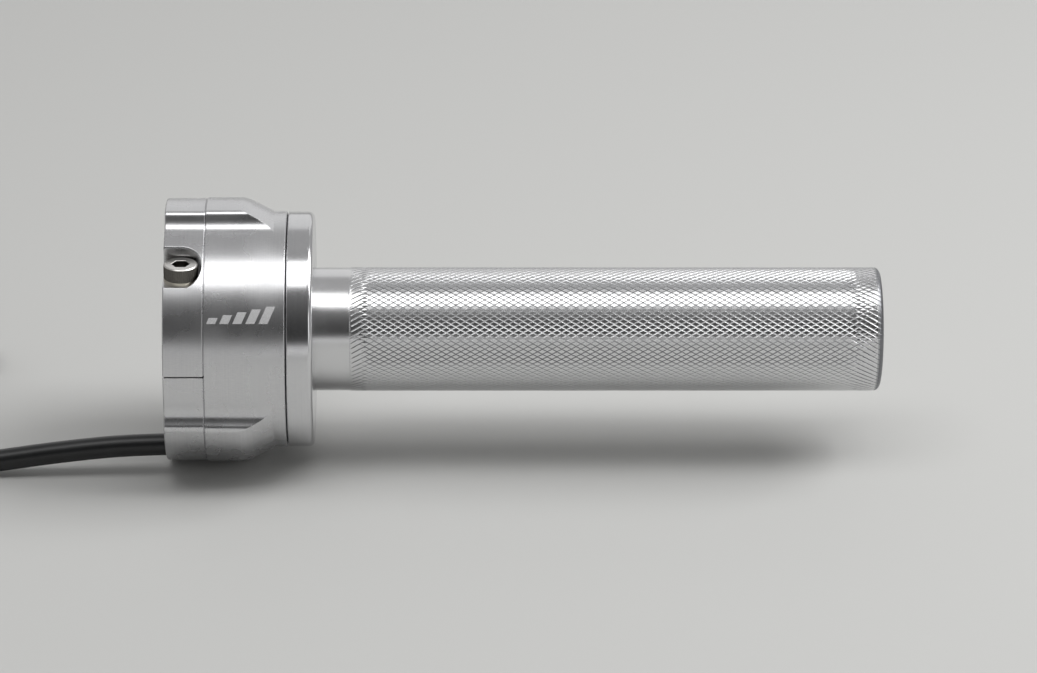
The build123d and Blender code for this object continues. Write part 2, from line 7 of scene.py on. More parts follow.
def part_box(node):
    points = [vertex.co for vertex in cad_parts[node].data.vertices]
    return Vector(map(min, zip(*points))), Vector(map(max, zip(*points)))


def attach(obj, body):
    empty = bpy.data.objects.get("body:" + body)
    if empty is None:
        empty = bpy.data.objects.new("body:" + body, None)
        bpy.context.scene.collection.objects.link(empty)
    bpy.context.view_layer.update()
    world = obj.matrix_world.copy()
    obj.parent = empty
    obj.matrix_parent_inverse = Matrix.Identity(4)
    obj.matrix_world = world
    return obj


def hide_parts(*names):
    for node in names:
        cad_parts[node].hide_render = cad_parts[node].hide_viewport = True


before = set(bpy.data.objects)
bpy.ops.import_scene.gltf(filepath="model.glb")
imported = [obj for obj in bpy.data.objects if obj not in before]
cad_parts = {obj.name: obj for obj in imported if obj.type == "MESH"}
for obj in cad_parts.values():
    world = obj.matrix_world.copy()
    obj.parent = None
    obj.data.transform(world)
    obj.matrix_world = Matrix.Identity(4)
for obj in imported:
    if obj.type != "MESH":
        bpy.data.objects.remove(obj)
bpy.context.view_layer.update()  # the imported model, which stays where it is
mm = 0.001


# small helpers

def hexColour(text):
    # sRGB hex to the linear values that the shaders use
    linear = []
    for start in (1, 3, 5):
        value = int(text[start:start + 2], 16) / 255
        linear.append(value / 12.92 if value <= 0.04045 else ((value + 0.055) / 1.055) ** 2.4)
    return (linear[0], linear[1], linear[2], 1.0)


def addNode(tree, kind, settings=None, links=None):
    # one node with its settings; a number or the name of an input sets that input
    node = tree.nodes.new(kind)
    for name, value in (settings or {}).items():
        if name == "stops":
            ramp = node.color_ramp
            while len(ramp.elements) < len(value):
                ramp.elements.new(0.5)
            for element, (place, colour) in zip(ramp.elements, value):
                element.position = place
                element.color = colour
        elif isinstance(name, int) or name in node.inputs:
            node.inputs[name].default_value = value
        else:
            setattr(node, name, value)
    for name, socket in (links or {}).items():
        tree.links.new(socket, node.inputs[name])
    return node


def startMaterial(name, settings):
    # a material with only a Principled shader, and the tree to add to
    material = bpy.data.materials.new(name)
    material.use_nodes = True
    tree = material.node_tree
    tree.nodes.clear()
    shader = addNode(tree, "ShaderNodeBsdfPrincipled", settings)
    addNode(tree, "ShaderNodeOutputMaterial", {}, {"Surface": shader.outputs["BSDF"]})
    return material, tree, shader


def finishPiece(bm, name, material, body, smoothAngle=30):
    # writes the mesh, shades it smooth up to the angle, and hands it to the frame
    mesh = bpy.data.meshes.new(name)
    bm.to_mesh(mesh)
    bm.free()
    piece = bpy.data.objects.new(name, mesh)
    bpy.context.collection.objects.link(piece)
    mesh.materials.append(material)
    mesh.shade_smooth()
    mesh.set_sharp_from_angle(angle=math.radians(smoothAngle))
    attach(piece, body)
    return piece


def roundBar(angle, radius, x):
    # a point round the handlebar's axis; the angle runs from the top towards the rider
    turn = math.radians(angle)
    return Vector((x, -radius * math.sin(turn), radius * math.cos(turn)))


# camera: it looks down a little on the rider's side of the grip

cameraView = {
    "aim": (87.8, 0.0, 0.0),  # mm
    "below": 1.9,  # the frame's middle is this much under the bar's axis, mm
    "distance": 1207.0,  # mm
    "elevation": 24.0,
    "turn": 1.2,  # the grip's outer end points this much away
    "lens": 167.0,
    "sensor": 36.0,
}


def addCamera():
    up = math.radians(cameraView["elevation"])
    turn = math.radians(cameraView["turn"])
    forward = Vector((math.cos(up) * math.sin(turn), math.cos(up) * math.cos(turn), -math.sin(up)))
    right = (Vector((1, 0, 0)) - forward * forward.x).normalized()
    above = right.cross(forward)
    aim = Vector(cameraView["aim"]) * mm - above * cameraView["below"] * mm
    camera = bpy.data.objects.new("camera", bpy.data.cameras.new("camera"))
    bpy.context.collection.objects.link(camera)
    turned = Matrix((right, above, -forward)).transposed().to_4x4()
    camera.matrix_world = Matrix.Translation(aim - forward * cameraView["distance"] * mm) @ turned
    camera.data.lens = cameraView["lens"]
    camera.data.sensor_width = cameraView["sensor"]
    camera.data.clip_start = 0.05
    bpy.context.scene.camera = camera


addCamera()
print("camera set")


# sensor lead: out of the clamp, down to the table and into its coil

cable = {
    "diameter": 5.5,
    "exit": (0.0, -14.4, -24.94),
    "route": (
        (14.5, -14.4, -24.942),
        (-6.0, -14.4, -24.942),
        (-27.0, -15.0, -26.9),
        (-48.0, -15.4, -30.15),
        (-70.0, -16.9, -30.2),
        (-92.0, -16.6, -30.2),
    ),
    "coilMiddle": (-102.0, 16.0),
    "outerTurn": 32.75,
    "innerTurn": 27.25,
    "lowLayer": -30.2,
    "highLayer": -24.75,
    "turns": 3.5,
    "pointsPerTurn": 16,
    "tail": (
        (-97.0, 48.8, -24.8),
        (-86.5, 49.8, -27.5),
        (-75.0, 49.8, -27.5),
    ),
}


def coilPoints():
    # each turn has its own place in the bundle; a turn changes place over its last part
    places = (
        (cable["outerTurn"], cable["lowLayer"]),
        (cable["innerTurn"], cable["lowLayer"]),
        (cable["innerTurn"], cable["highLayer"]),
        (cable["outerTurn"], cable["highLayer"]),
        (cable["outerTurn"], cable["highLayer"]),
    )
    points = []
    total = int(cable["turns"] * cable["pointsPerTurn"])
    for count in range(1, total):
        turn = count / cable["pointsPerTurn"]
        whole = int(turn)
        share = min(max((turn - whole - 0.72) / 0.28, 0.0), 1.0)
        share = share * share * (3 - 2 * share)
        radius = places[whole][0] * (1 - share) + places[whole + 1][0] * share
        height = places[whole][1] * (1 - share) + places[whole + 1][1] * share
        angle = math.radians(-90 - 360 * turn)
        x = cable["coilMiddle"][0] + radius * math.cos(angle)
        y = cable["coilMiddle"][1] + radius * math.sin(angle)
        points.append((x, y, height))
    return points


def addCable(material):
    points = list(cable["route"]) + coilPoints() + list(cable["tail"])
    curve = bpy.data.curves.new("sensorLead", "CURVE")
    curve.dimensions = "3D"
    spline = curve.splines.new("NURBS")
    spline.points.add(len(points) - 1)
    for point, place in zip(spline.points, points):
        point.co = (place[0] * mm, place[1] * mm, place[2] * mm, 1.0)
    spline.order_u = 3
    spline.use_endpoint_u = True
    spline.resolution_u = 6
    curve.bevel_depth = cable["diameter"] / 2 * mm
    curve.bevel_resolution = 6
    curve.use_fill_caps = True
    curve.materials.append(material)
    lead = bpy.data.objects.new("sensorLead", curve)
    bpy.context.collection.objects.link(lead)
    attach(lead, "housing")
    return lead, spline.calc_length()


def jacketMaterial():
    # extruded PVC: black, satin, with the faint waviness of the extruder along its length
    material, tree, shader = startMaterial("satinPvcJacket", {"Roughness": 0.38, "IOR": 1.53})
    place = addNode(tree, "ShaderNodeTexCoord")
    wave = addNode(
        tree, "ShaderNodeTexNoise",
        {"Scale": 220.0, "Detail": 3.0, "Roughness": 0.5},
        {"Vector": place.outputs["Object"]},
    )
    bump = addNode(
        tree, "ShaderNodeBump", {"Strength": 0.25, "Distance": 0.00012}, {"Height": wave.outputs["Fac"]}
    )
    tree.links.new(bump.outputs["Normal"], shader.inputs["Normal"])
    tone = addNode(
        tree, "ShaderNodeValToRGB",
        {"stops": ((0.3, hexColour("#0d0d0e")), (0.7, hexColour("#17181a")))},
        {0: wave.outputs["Fac"]},
    )
    tree.links.new(tone.outputs["Color"], shader.inputs["Base Color"])
    return material


jacket = jacketMaterial()
lead, leadLength = addCable(jacket)
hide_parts("sensor_cable", "cable_coil", "cable_tail")
print("lead laid", round(leadLength, 4))


# metals

def turnedPlace(tree, alongScale, roundScale):
    # coordinates that follow the lathe: along the bar, out from it, and slowly round it
    place = addNode(tree, "ShaderNodeTexCoord")
    split = addNode(tree, "ShaderNodeSeparateXYZ", {}, {0: place.outputs["Object"]})
    angle = addNode(
        tree, "ShaderNodeMath", {"operation": "ARCTAN2"}, {0: split.outputs["Y"], 1: split.outputs["Z"]}
    )
    across = addNode(tree, "ShaderNodeCombineXYZ", {}, {"Y": split.outputs["Y"], "Z": split.outputs["Z"]})
    radius = addNode(tree, "ShaderNodeVectorMath", {"operation": "LENGTH"}, {0: across.outputs[0]})
    scaled = addNode(
        tree, "ShaderNodeCombineXYZ", {},
        {"X": split.outputs["X"], "Y": radius.outputs["Value"], "Z": angle.outputs[0]},
    )
    return addNode(
        tree, "ShaderNodeVectorMath",
        {"operation": "MULTIPLY", 1: (alongScale, alongScale, roundScale)},
        {0: scaled.outputs[0]},
    ), place


turning = {
    "roundRepeats": 1.6,  # patches of lathe line for each radian
    "silkPerMm": (0.9, 5.2, 5.2),  # grain drawn out along the bar
    "cloudsPerMm": 0.07,  # broad changes in the satin
    "lineShare": 0.4,
    "silkShare": 0.6,
    "bumpStrength": 0.6,
    "bevelSamples": 6,
}


def turnedAluminium(name, low, high, roughness, lineSpacing, lineDepth, edgeRadius=0.12):
    # 6061, fine-turned and satin anodised: faint lathe lines under a silky grain
    material, tree, shader = startMaterial(name, {"Metallic": 1.0, "Anisotropic": 0.3})
    lathe, place = turnedPlace(tree, 1 / (lineSpacing * mm), turning["roundRepeats"])
    lines = addNode(
        tree, "ShaderNodeTexNoise", {"Scale": 1.0, "Detail": 2.0, "Roughness": 0.5},
        {"Vector": lathe.outputs[0]},
    )
    stretched = addNode(
        tree, "ShaderNodeVectorMath",
        {"operation": "MULTIPLY", 1: tuple(repeats / mm for repeats in turning["silkPerMm"])},
        {0: place.outputs["Object"]},
    )
    silk = addNode(
        tree, "ShaderNodeTexNoise", {"Scale": 1.0, "Detail": 3.0, "Roughness": 0.6},
        {"Vector": stretched.outputs[0]},
    )
    clouds = addNode(
        tree, "ShaderNodeTexNoise", {"Scale": turning["cloudsPerMm"] / mm, "Detail": 3.0},
        {"Vector": place.outputs["Object"]},
    )
    soft = addNode(
        tree, "ShaderNodeMath", {"operation": "MULTIPLY", 1: turning["silkShare"]}, {0: silk.outputs["Fac"]}
    )
    blend = addNode(
        tree, "ShaderNodeMath", {"operation": "MULTIPLY_ADD", 1: turning["lineShare"]},
        {0: lines.outputs["Fac"], 2: soft.outputs[0]},
    )
    tone = addNode(
        tree, "ShaderNodeValToRGB", {"stops": ((0.35, hexColour(low)), (0.65, hexColour(high)))},
        {0: blend.outputs[0]},
    )
    tree.links.new(tone.outputs["Color"], shader.inputs["Base Color"])
    rough = addNode(
        tree, "ShaderNodeMapRange",
        {"From Min": 0.3, "From Max": 0.7, "To Min": roughness * 0.85, "To Max": roughness * 1.2},
        {"Value": clouds.outputs["Fac"]},
    )
    tree.links.new(rough.outputs["Result"], shader.inputs["Roughness"])
    rounded = addNode(
        tree, "ShaderNodeBevel", {"samples": turning["bevelSamples"], "Radius": edgeRadius * mm}
    )
    bump = addNode(
        tree, "ShaderNodeBump", {"Strength": turning["bumpStrength"], "Distance": lineDepth * mm},
        {"Height": blend.outputs[0], "Normal": rounded.outputs["Normal"]},
    )
    tree.links.new(bump.outputs["Normal"], shader.inputs["Normal"])
    direction = addNode(tree, "ShaderNodeTangent", {"direction_type": "RADIAL", "axis": "X"})
    tree.links.new(direction.outputs["Tangent"], shader.inputs["Tangent"])
    return material


endGroove = {
    "width": 0.16,  # share of a diamond
    "startFrom": (0.0, 0.25),  # rows after the knurl's first one
    "startTo": (0.9, 1.7),
    "endFrom": (-3.2, -1.5),  # rows after its last one
    "endTo": (2.0, 3.0),
}


def endGrooves(tree, lathe, lean, fromRows, toRows):
    # one family of helical grooves, for the end where the other family hasn't started yet
    split = addNode(tree, "ShaderNodeSeparateXYZ", {}, {0: lathe.outputs[0]})
    turns = addNode(
        tree, "ShaderNodeMath", {"operation": "MULTIPLY_ADD", 1: lean},
        {0: split.outputs["Z"], 2: split.outputs["X"]},
    )
    across = addNode(tree, "ShaderNodeMath", {"operation": "PINGPONG", 1: 0.5}, {0: turns.outputs[0]})
    groove = addNode(
        tree, "ShaderNodeMapRange",
        {"interpolation_type": "SMOOTHSTEP", "From Min": 0.5 - endGroove["width"], "From Max": 0.5,
         "To Min": 0.0, "To Max": 1.0},
        {"Value": across.outputs[0]},
    )
    begin = addNode(
        tree, "ShaderNodeMapRange",
        {"From Min": fromRows[0], "From Max": fromRows[1], "To Min": 0.0, "To Max": 1.0},
        {"Value": split.outputs["X"]},
    )
    stop = addNode(
        tree, "ShaderNodeMapRange",
        {"From Min": toRows[0], "From Max": toRows[1], "To Min": 1.0, "To Max": 0.0},
        {"Value": split.outputs["X"]},
    )
    both = addNode(
        tree, "ShaderNodeMath", {"operation": "MULTIPLY"},
        {0: begin.outputs["Result"], 1: stop.outputs["Result"]},
    )
    return addNode(
        tree, "ShaderNodeMath", {"operation": "MULTIPLY"},
        {0: groove.outputs["Result"], 1: both.outputs[0]},
    )


def knurledAluminium(startX, endX, gripRadius, pitch, count):
    # cut diamond knurl: satin tops like the neck's, and grooves a little rougher; the grooves and the low
    # ground between the diamonds are also toned darker as painted shade
    material, tree, shader = startMaterial("knurledAluminium", {"Metallic": 1.0})
    place = addNode(tree, "ShaderNodeTexCoord")
    split = addNode(tree, "ShaderNodeSeparateXYZ", {}, {0: place.outputs["Object"]})
    rearward = addNode(tree, "ShaderNodeMath", {"operation": "MULTIPLY", 1: -1.0}, {0: split.outputs["Y"]})
    angle = addNode(
        tree, "ShaderNodeMath", {"operation": "ARCTAN2"}, {0: rearward.outputs[0], 1: split.outputs["Z"]}
    )
    steps = addNode(
        tree, "ShaderNodeMath", {"operation": "MULTIPLY", 1: count / (2 * math.pi)}, {0: angle.outputs[0]}
    )
    along = addNode(
        tree, "ShaderNodeMath", {"operation": "MULTIPLY_ADD", 1: 1 / (pitch * mm), 2: -startX / pitch},
        {0: split.outputs["X"]},
    )
    lattice = addNode(tree, "ShaderNodeCombineXYZ", {}, {"X": along.outputs[0], "Z": steps.outputs[0]})
    rows = (endX - startX) / pitch
    leading = endGrooves(tree, lattice, 1.0, endGroove["startFrom"], endGroove["startTo"])
    trailing = endGrooves(
        tree, lattice, -1.0,
        [rows + place for place in endGroove["endFrom"]], [rows + place for place in endGroove["endTo"]],
    )
    grooves = addNode(
        tree, "ShaderNodeMath", {"operation": "ADD"}, {0: leading.outputs[0], 1: trailing.outputs[0]}
    )
    grain = addNode(
        tree, "ShaderNodeTexNoise", {"Scale": 2600.0, "Detail": 2.0}, {"Vector": place.outputs["Object"]}
    )
    flat = addNode(tree, "ShaderNodeCombineXYZ", {}, {"Y": split.outputs["Y"], "Z": split.outputs["Z"]})
    radius = addNode(tree, "ShaderNodeVectorMath", {"operation": "LENGTH"}, {0: flat.outputs[0]})
    height = addNode(
        tree, "ShaderNodeMapRange",
        {"From Min": (gripRadius - grip["depth"]) * mm, "From Max": (gripRadius - 0.025) * mm,
         "To Min": 0.0, "To Max": 1.0},
        {"Value": radius.outputs["Value"]},
    )
    plain = addNode(tree, "ShaderNodeMath", {"operation": "LESS_THAN", 1: 0.05}, {0: along.outputs[0]})
    level = addNode(
        tree, "ShaderNodeMath", {"operation": "MAXIMUM"}, {0: height.outputs["Result"], 1: plain.outputs[0]}
    )
    # painted shade: the colour darkens with depth below the diamonds' tops and in the end grooves
    paintedGrooveShade = addNode(
        tree, "ShaderNodeMath", {"operation": "MULTIPLY_ADD", 1: -0.8},
        {0: grooves.outputs[0], 2: level.outputs[0]},
    )
    # the dark stop is the painted shade in the grooves; the light stops are the satin tops
    tone = addNode(
        tree, "ShaderNodeValToRGB",
        {"stops": ((0.0, hexColour("#7f8083")), (0.5, hexColour("#bcbdbf")), (0.9, hexColour("#dededf")))},
        {0: paintedGrooveShade.outputs[0]},
    )
    tree.links.new(tone.outputs["Color"], shader.inputs["Base Color"])
    rough = addNode(
        tree, "ShaderNodeMapRange", {"From Min": 0.0, "From Max": 1.0, "To Min": 0.36, "To Max": 0.23},
        {"Value": level.outputs[0]},
    )
    tree.links.new(rough.outputs["Result"], shader.inputs["Roughness"])
    surface = addNode(
        tree, "ShaderNodeMath", {"operation": "MULTIPLY_ADD", 1: -1.0}, {0: grooves.outputs[0]}
    )
    faint = addNode(tree, "ShaderNodeMath", {"operation": "MULTIPLY", 1: 0.06}, {0: grain.outputs["Fac"]})
    tree.links.new(faint.outputs[0], surface.inputs[2])
    bump = addNode(
        tree, "ShaderNodeBump", {"Strength": 1.0, "Distance": grip["depth"] * mm},
        {"Height": surface.outputs[0]},
    )
    tree.links.new(bump.outputs["Normal"], shader.inputs["Normal"])
    return material


def steelMaterial(name, low, high, roughness, grainSize):
    # rolled or ground steel with a fine even grain
    material, tree, shader = startMaterial(name, {"Metallic": 1.0})
    place = addNode(tree, "ShaderNodeTexCoord")
    grain = addNode(
        tree, "ShaderNodeTexNoise", {"Scale": 1 / (grainSize * mm), "Detail": 3.0},
        {"Vector": place.outputs["Object"]},
    )
    tone = addNode(
        tree, "ShaderNodeValToRGB", {"stops": ((0.3, hexColour(low)), (0.7, hexColour(high)))},
        {0: grain.outputs["Fac"]},
    )
    tree.links.new(tone.outputs["Color"], shader.inputs["Base Color"])
    rough = addNode(
        tree, "ShaderNodeMapRange",
        {"From Min": 0.3, "From Max": 0.7, "To Min": roughness * 0.8, "To Max": roughness * 1.3},
        {"Value": grain.outputs["Fac"]},
    )
    tree.links.new(rough.outputs["Result"], shader.inputs["Roughness"])
    bump = addNode(
        tree, "ShaderNodeBump", {"Strength": 0.15, "Distance": 0.00001}, {"Height": grain.outputs["Fac"]}
    )
    tree.links.new(bump.outputs["Normal"], shader.inputs["Normal"])
    return material


def mouldedMaterial(name, low, high, roughness, ior, grainSize, grainDepth, sheen=0.0):
    # moulded or woven matter: two close tones over a grain of real size
    material, tree, shader = startMaterial(name, {"IOR": ior, "Sheen Weight": sheen})
    place = addNode(tree, "ShaderNodeTexCoord")
    grain = addNode(
        tree, "ShaderNodeTexNoise", {"Scale": 1 / (grainSize * mm), "Detail": 4.0, "Roughness": 0.6},
        {"Vector": place.outputs["Object"]},
    )
    tone = addNode(
        tree, "ShaderNodeValToRGB", {"stops": ((0.3, hexColour(low)), (0.7, hexColour(high)))},
        {0: grain.outputs["Fac"]},
    )
    tree.links.new(tone.outputs["Color"], shader.inputs["Base Color"])
    rough = addNode(
        tree, "ShaderNodeMapRange",
        {"From Min": 0.3, "From Max": 0.7, "To Min": roughness * 0.88, "To Max": min(1.0, roughness * 1.12)},
        {"Value": grain.outputs["Fac"]},
    )
    tree.links.new(rough.outputs["Result"], shader.inputs["Roughness"])
    bump = addNode(
        tree, "ShaderNodeBump", {"Strength": 0.4, "Distance": grainDepth * mm},
        {"Height": grain.outputs["Fac"]},
    )
    tree.links.new(bump.outputs["Normal"], shader.inputs["Normal"])
    return material


housingMetal = turnedAluminium("turnedAluminiumHousing", "#d0d0d2", "#dadadb", 0.27, 0.25, 0.0016, 0.22)
ringMetal = turnedAluminium("turnedAluminiumRing", "#d3d3d5", "#dcdcdd", 0.16, 0.25, 0.001)
screwSteel = steelMaterial("stainlessSteelScrew", "#cdc7ba", "#dcd6c9", 0.36, 0.25)
springSteel = steelMaterial("oiledSpringSteel", "#5f5f62", "#77777a", 0.33, 0.3)
raceSteel = steelMaterial("groundBearingSteel", "#b4b5b8", "#cccdd0", 0.14, 0.2)
brassMetal = steelMaterial("pressedBrass", "#b3914e", "#c9a866", 0.28, 0.25)
nickelMetal = steelMaterial("nickelPlate", "#a9a7a2", "#bfbdb8", 0.2, 0.3)
blackNylon = mouldedMaterial("mouldedNylon", "#141416", "#1d1d20", 0.52, 1.53, 0.25, 0.012)
whiteAcetal = mouldedMaterial("turnedAcetal", "#dcd9d0", "#e9e6de", 0.42, 1.48, 0.4, 0.006)
greenBoard = mouldedMaterial("circuitBoard", "#0f3d25", "#17492e", 0.35, 1.5, 0.6, 0.004)
redWire = mouldedMaterial("wireInsulation", "#8f1f18", "#a3281f", 0.4, 1.5, 0.3, 0.004)
softRubber = mouldedMaterial("mouldedRubber", "#101011", "#19191a", 0.6, 1.52, 0.2, 0.01)
greyFelt = mouldedMaterial("woolFelt", "#2b2b2d", "#454548", 0.95, 1.4, 0.12, 0.08, 0.3)

nodeFinishes = {
    "main_housing": housingMetal, "clamp_base": housingMetal, "clamp_cap": housingMetal,
    "twist_flange": ringMetal, "outer_race_spacer": ringMetal, "inner_race_spacer": ringMetal,
    "lock_washers": screwSteel, "base_screws": screwSteel, "carrier_screws": screwSteel,
    "hub_circlip": springSteel, "shaft_circlip": springSteel, "return_spring": springSteel,
    "inboard_outer_race": raceSteel, "outboard_outer_race": raceSteel,
    "inboard_inner_race": raceSteel, "outboard_inner_race": raceSteel,
    "inboard_balls": raceSteel, "outboard_balls": raceSteel,
    "inboard_ball_cage": brassMetal, "outboard_ball_cage": brassMetal,
    "sensor_magnets": nickelMetal, "magnet_carrier": blackNylon, "hall_sensors": blackNylon,
    "plug_body": blackNylon, "inner_bush": whiteAcetal, "end_bush": whiteAcetal,
    "sensor_board": greenBoard, "sensor_wires": redWire, "cable_grommet": softRubber,
    "plug_boot": softRubber, "felt_seal": greyFelt,
}
for nodeName, finish in nodeFinishes.items():
    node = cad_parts[nodeName]
    node.data.materials.clear()
    node.data.materials.append(finish)
print("finishes given to", len(nodeFinishes), "pieces")


# the twist tube, with its knurl cut as real diamonds

grip = {
    "around": 70,  # diamonds round the tube
    "along": 55,  # and along it
    "depth": 0.085,  # mm from valley to top
    "topInset": 0.2,  # mm from a diamond's edge to its flat top
    "endInset": 0.1,
    "fadeStart": (2.0, 3.8),  # mm over which the diamonds rise at the inner end
    "fadeEnd": (1.0, 6.5),  # and at the outer end
    "fadeFloor": 0.3,  # share of the depth left at the outer end
    "neckDrop": 0.02,  # mm that the plain ring lies under the diamonds' tops
    "neckStep": 0.1,
    "neckLength": 9.1,
    "journal": 15.0,
    "journalEnd": 28.0,
    "passage": 11.7,
    "bushSeat": 12.5,
    "bushStart": 60.0,
    "endCorner": 1.5,
    "cornerSteps": 5,
}


def gripProfile(startX, gripRadius, tubeStart, tubeEnd):
    # from the knurl's first row back along the neck and journal, then out through the bore
    neck = gripRadius - grip["neckStep"]
    profile = [
        (startX - 0.1, neck + 0.04),
        (startX - 0.2, neck),
        (startX - 0.7, neck),
        (grip["journalEnd"], neck),
        (grip["journalEnd"], grip["journal"]),
        (tubeStart + 0.25, grip["journal"]),
        (tubeStart, grip["journal"] - 0.25),
        (tubeStart, grip["passage"]),
        (grip["bushStart"], grip["passage"]),
        (grip["bushStart"], grip["bushSeat"]),
        (tubeEnd, grip["bushSeat"]),
    ]
    corner = grip["endCorner"]
    for step in range(grip["cornerSteps"]):
        turn = math.radians(90 * step / grip["cornerSteps"])
        x = tubeEnd - corner + corner * math.cos(turn)
        profile.append((x, gripRadius - corner + corner * math.sin(turn)))
    return profile


def fadeShare(distance, fade):
    # 0 before the fade and 1 after it
    return min(max((distance - fade[0]) / (fade[1] - fade[0]), 0.0), 1.0)


def ringEdges(bm, x):
    return [e for e in bm.edges if e.is_boundary and all(abs(v.co.x - x) < 0.02 * mm for v in e.verts)]


def buildGripTube(material, tubeStart, tubeEnd, startX, endX, gripRadius):
    valley = (gripRadius - grip["depth"]) * mm
    pitch = (endX - startX) / grip["along"] * mm
    step = 2 * math.pi / grip["around"]
    bm = bmesh.new()
    for middleX, middleAngle in ((startX * mm, 0.0), (startX * mm + pitch / 2, step / 2)):
        corners = []
        for alongPart, aroundPart in ((0, -0.5), (0.5, 0), (0, 0.5), (-0.5, 0)):
            angle = middleAngle + aroundPart * step
            x = middleX + alongPart * pitch
            corners.append(bm.verts.new((x, -valley * math.sin(angle), valley * math.cos(angle))))
        bm.faces.new(corners)
    bmesh.ops.spin(
        bm, geom=bm.verts[:] + bm.edges[:] + bm.faces[:], cent=(0, 0, 0), axis=(1, 0, 0), dvec=(0, 0, 0),
        angle=step * (grip["around"] - 1), steps=grip["around"] - 1, use_duplicate=True,
    )
    firstRow = bm.verts[:] + bm.edges[:] + bm.faces[:]
    for row in range(1, grip["along"] + 1):
        copied = bmesh.ops.duplicate(bm, geom=firstRow)["geom"]
        moved = [part for part in copied if isinstance(part, bmesh.types.BMVert)]
        bmesh.ops.translate(bm, verts=moved, vec=(row * pitch, 0, 0))
    bmesh.ops.remove_doubles(bm, verts=bm.verts, dist=0.01 * mm)
    fullArea = max(face.calc_area() for face in bm.faces)
    for cutX, side in ((startX * mm, "clear_inner"), (endX * mm, "clear_outer")):
        bmesh.ops.bisect_plane(
            bm, geom=bm.verts[:] + bm.edges[:] + bm.faces[:], dist=0.005 * mm,
            plane_co=(cutX, 0, 0), plane_no=(1, 0, 0), **{side: True}
        )
    for face in bm.faces:
        middle = face.calc_center_median()
        if face.normal.dot(Vector((0, middle.y, middle.z))) < 0:
            face.normal_flip()
    whole = [face for face in bm.faces if face.calc_area() > 0.9 * fullArea]
    cut = [face for face in bm.faces if face.calc_area() <= 0.9 * fullArea]
    bmesh.ops.inset_individual(bm, faces=whole, thickness=grip["topInset"] * mm, depth=grip["depth"] * mm)
    bmesh.ops.inset_individual(bm, faces=cut, thickness=grip["endInset"] * mm, depth=grip["depth"] * mm)
    for vert in bm.verts:
        fromStart = fadeShare(vert.co.x / mm - startX, grip["fadeStart"])
        fromEnd = fadeShare(endX - vert.co.x / mm, grip["fadeEnd"])
        share = fromStart * (grip["fadeFloor"] + (1 - grip["fadeFloor"]) * fromEnd)
        radius = math.hypot(vert.co.y, vert.co.z)
        level = (gripRadius - grip["neckDrop"]) * mm
        wanted = min(level + (radius - level) * share, gripRadius * mm)
        vert.co.y *= wanted / radius
        vert.co.z *= wanted / radius
    bmesh.ops.subdivide_edges(bm, edges=ringEdges(bm, startX * mm), cuts=2)
    for vert in {vert for edge in ringEdges(bm, startX * mm) for vert in edge.verts}:
        angle = math.atan2(vert.co.z, vert.co.y)
        radius = (gripRadius - grip["neckDrop"]) * mm
        vert.co = (vert.co.x, radius * math.cos(angle), radius * math.sin(angle))
    edges = ringEdges(bm, startX * mm)
    farEdges = ringEdges(bm, endX * mm)
    for x, radius in gripProfile(startX, gripRadius, tubeStart, tubeEnd):
        pulled = bmesh.ops.extrude_edge_only(bm, edges=edges)["geom"]
        edges = [part for part in pulled if isinstance(part, bmesh.types.BMEdge)]
        for vert in [part for part in pulled if isinstance(part, bmesh.types.BMVert)]:
            angle = math.atan2(-vert.co.y, vert.co.z)
            vert.co = (x * mm, -radius * mm * math.sin(angle), radius * mm * math.cos(angle))
    bmesh.ops.bridge_loops(bm, edges=edges + farEdges)
    bmesh.ops.recalc_face_normals(bm, faces=bm.faces)
    return finishPiece(bm, "gripTube", material, "twist_grip", 25)


tubeBox = [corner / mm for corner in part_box("throttle_tube")]
tubeRadius = tubeBox[1].z
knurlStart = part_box("twist_flange")[1].x / mm + grip["neckLength"]
knurlEnd = tubeBox[1].x - grip["endCorner"]
knurlPitch = (knurlEnd - knurlStart) / grip["along"]
gripMetal = knurledAluminium(knurlStart, knurlEnd, tubeRadius, knurlPitch, grip["around"])
gripTube = buildGripTube(gripMetal, tubeBox[0].x, tubeBox[1].x, knurlStart, knurlEnd, tubeRadius)
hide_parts("throttle_tube")
print("grip tube cut,", len(gripTube.data.polygons), "faces")


# the two clamp screws

clampScrew = {
    "places": ((4.4, -16.5), (4.4, 16.5)),
    "headRadius": 4.25,
    "headHeight": 3.5,
    "shankRadius": 2.5,
    "length": 30.0,
    "ridges": 48,
    "ridgeDepth": 0.1,
    "chamfer": 0.25,
    "hexSize": 4.0,
    "hexDepth": 2.4,
    "hexChamfer": 0.08,
    # the side tones are painted shade, darker than the top's steel tone
    "topTones": ("#d2d0cc", "#e2e0dc"),
    "paintedShadeSideTones": ("#5c5955", "#74716c"),
    "grainSize": 0.25,
}


def hexRadius(angle, acrossFlats):
    # how far the hexagon's side is from its middle at this angle
    sixth = math.pi / 3
    return acrossFlats / 2 / math.cos((angle % sixth) - sixth / 2)


